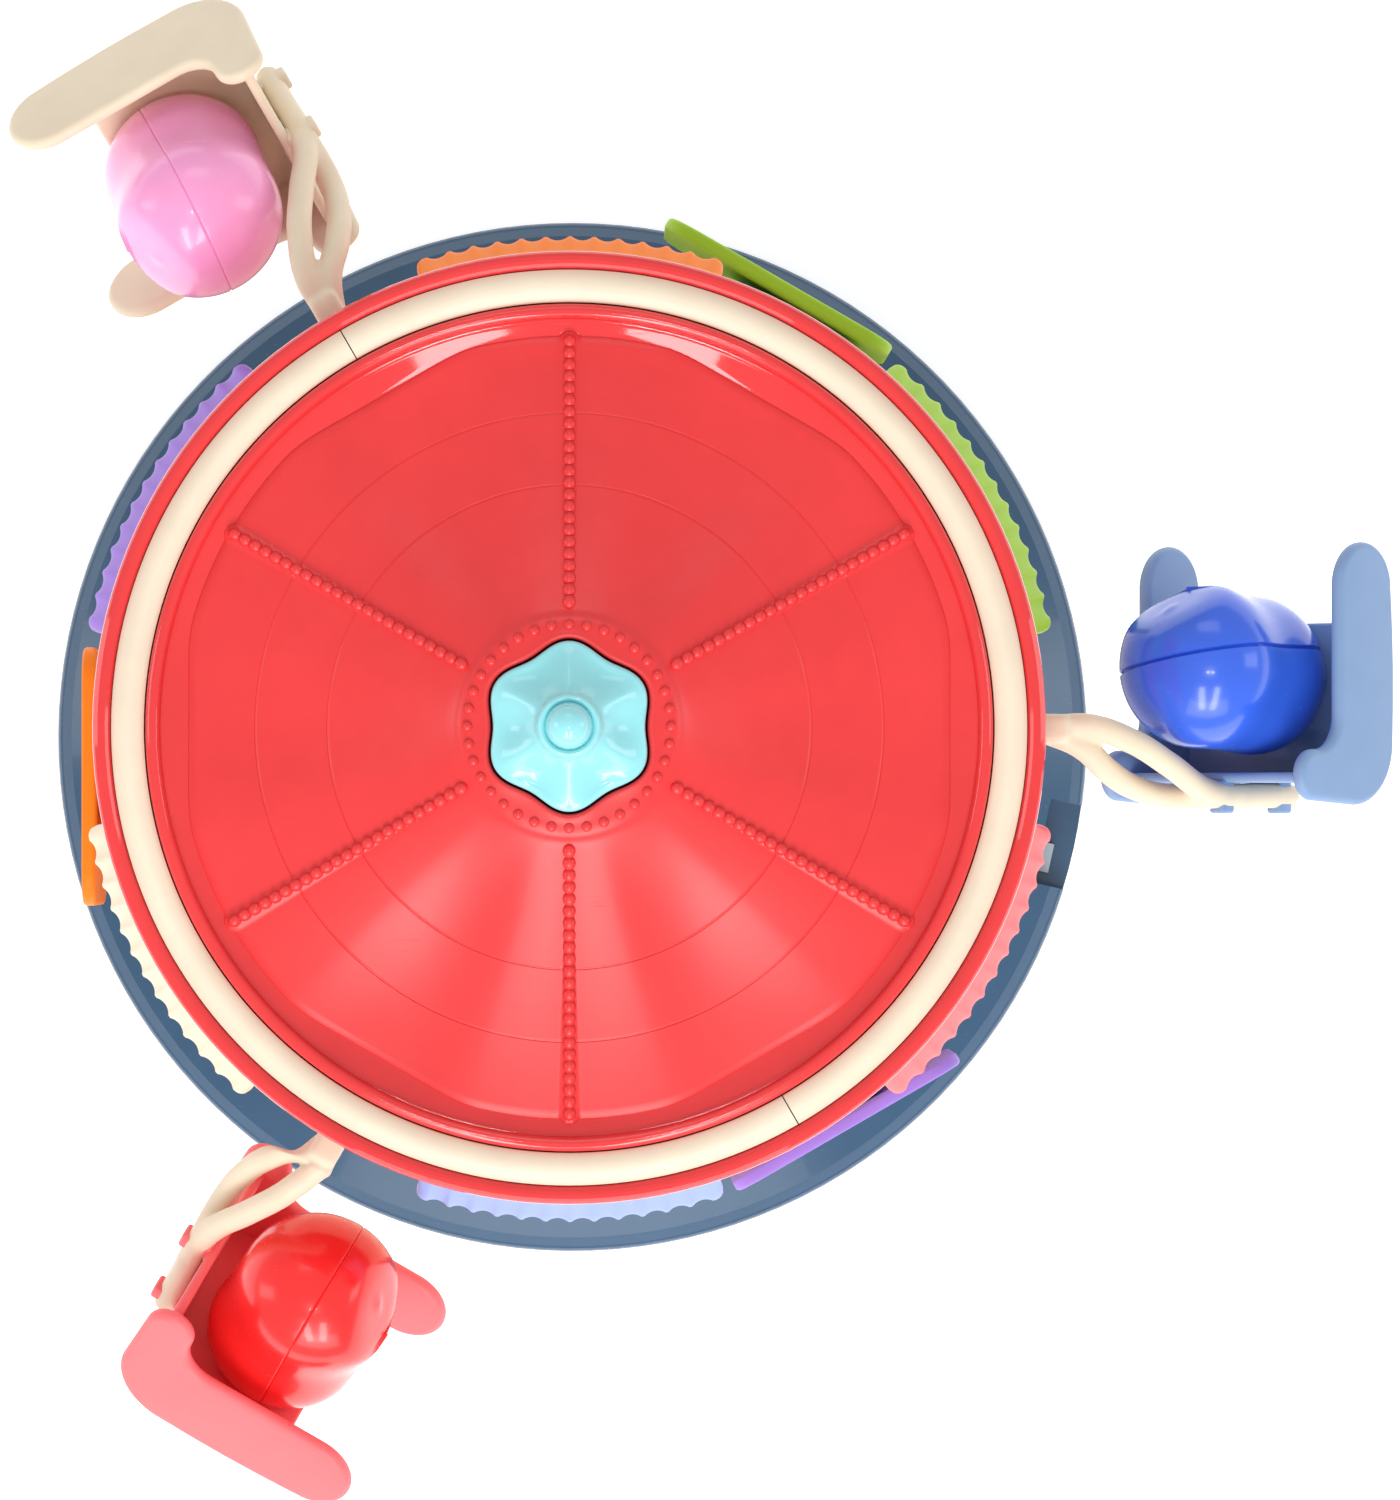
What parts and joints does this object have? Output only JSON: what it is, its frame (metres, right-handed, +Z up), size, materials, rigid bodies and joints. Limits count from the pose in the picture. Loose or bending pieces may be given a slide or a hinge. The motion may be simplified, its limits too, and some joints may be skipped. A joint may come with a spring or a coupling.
{
  "type": "toy carousel",
  "caption": "Tabletop toddler carousel: a round swing canopy with banked chairs and egg-shaped riders spins on a six-sided body with pull-out drawers, a flower button and a slide switch.",
  "frame": {"origin": "on the spin axis at the level of the surface it stands on, at the middle foot pad", "axes": "+Z up along the spin axis; +X towards the blue chair; the green drawer is at 60 degrees from +X"},
  "size_m": [0.3062, 0.3383, 0.2212],
  "materials": {
    "navy_plastic": "moulded, semi-gloss",
    "zinc_screw": "zinc plated",
    "cell_jacket": "printed film with no marks",
    "foot_rubber": "matt",
    "black_plastic": "moulded",
    "board_green": "solder mask",
    "grey_plastic": "moulded",
    "motor_can": "drawn and plated",
    "cream_plastic": "moulded, fine satin",
    "cream_gloss": "moulded, soft gloss",
    "lime_plastic": "moulded, satin",
    "orange_plastic": "moulded, satin",
    "purple_plastic": "moulded, satin",
    "white_acetal": "machined look",
    "red_gloss": "moulded, high gloss",
    "red_satin": "fine spark-eroded satin with a gloss trough",
    "coral_plastic": "moulded, satin",
    "sky_plastic": "moulded, satin",
    "slate_plastic": "moulded, satin",
    "rider_blue_gloss": "moulded, high gloss",
    "rider_pink_gloss": "moulded, high gloss",
    "rider_red_gloss": "moulded, high gloss",
    "aqua_gloss": "moulded, gloss"
  },
  "bodies": {
    "base": {"base_shell": "navy_plastic", "base_plate": "navy_plastic", "battery_door": "navy_plastic", "battery_door_screw": "zinc_screw", "batteries": "cell_jacket", "battery_contacts": "zinc_screw", "foot_pads": "foot_rubber", "base_screws": "zinc_screw", "speaker": "black_plastic", "circuit_board": "board_green", "slide_switch_case": "motor_can", "body_shell": "cream_plastic", "body_screws": "zinc_screw", "drawer_sleeve_green": "cream_plastic", "drawer_sleeve_orange": "cream_plastic", "drawer_sleeve_purple": "cream_plastic", "spindle_bush": "white_acetal", "motor_plate": "white_acetal", "motor_plate_screws": "zinc_screw", "button_switch": "black_plastic", "motor": "motor_can"},
    "canopy": {"drive_gear": "white_acetal", "hub": "white_acetal", "hub_clip": "zinc_screw", "hub_screws": "zinc_screw", "canopy_tray": "red_gloss", "canopy_roof": "red_satin", "roof_screws": "zinc_screw", "trim_ring_left": "cream_gloss", "trim_ring_right": "cream_gloss", "awning_orange": "orange_plastic", "awning_green": "lime_plastic", "awning_coral": "coral_plastic", "awning_blue": "sky_plastic", "awning_cream": "cream_plastic", "awning_purple": "purple_plastic", "arm_blue": "cream_plastic", "arm_pink": "cream_plastic", "arm_red": "cream_plastic", "chair_blue": "slate_plastic", "chair_cream": "cream_plastic", "chair_coral": "coral_plastic", "rider_blue": "rider_blue_gloss", "rider_pink": "rider_pink_gloss", "rider_red": "rider_red_gloss", "button_spring": "zinc_screw"},
    "button": {"flower_button": "aqua_gloss", "button_rod": "zinc_screw"},
    "pinion": {"motor_pinion": "white_acetal", "motor_shaft": "zinc_screw"},
    "switch": {"power_knob": "grey_plastic"},
    "drawer_green": {"drawer_front_green": "lime_plastic", "drawer_box_green": "lime_plastic"},
    "drawer_orange": {"drawer_front_orange": "orange_plastic", "drawer_box_orange": "orange_plastic"},
    "drawer_purple": {"drawer_front_purple": "purple_plastic", "drawer_box_purple": "purple_plastic"}
  },
  "joints": [
    {"name": "canopy_spin", "type": "hinge", "parent": "base", "child": "canopy", "pos_m": [0, 0, 0.15], "axis": [0, 0, 1], "continuous": true},
    {"name": "pinion_spin", "type": "hinge", "parent": "base", "child": "pinion", "pos_m": [0.03615, 0, 0.13], "axis": [0, 0, 1], "continuous": true},
    {"name": "button_press", "type": "slide", "parent": "canopy", "child": "button", "axis": [0, 0, -1], "range_m": [0, 0.003], "stiffness_N_per_m": 300, "springref_m": -0.003, "deforming": ["button_spring"]},
    {"name": "power_slide", "type": "slide", "parent": "base", "child": "switch", "axis": [0.2164, 0.9763, 0], "range_m": [0, 0.008]},
    {"name": "drawer_green_slide", "type": "slide", "parent": "base", "child": "drawer_green", "axis": [0.5, 0.866, 0], "range_m": [-0.0036, 0.0264]},
    {"name": "drawer_orange_slide", "type": "slide", "parent": "base", "child": "drawer_orange", "axis": [-1, 0, 0], "range_m": [-0.0016, 0.0284]},
    {"name": "drawer_purple_slide", "type": "slide", "parent": "base", "child": "drawer_purple", "axis": [0.5, -0.866, 0], "range_m": [0, 0.03]}
  ],
  "couplings": [
    {"joint": "pinion_spin", "follows": "canopy_spin", "ratio": -5}
  ]
}
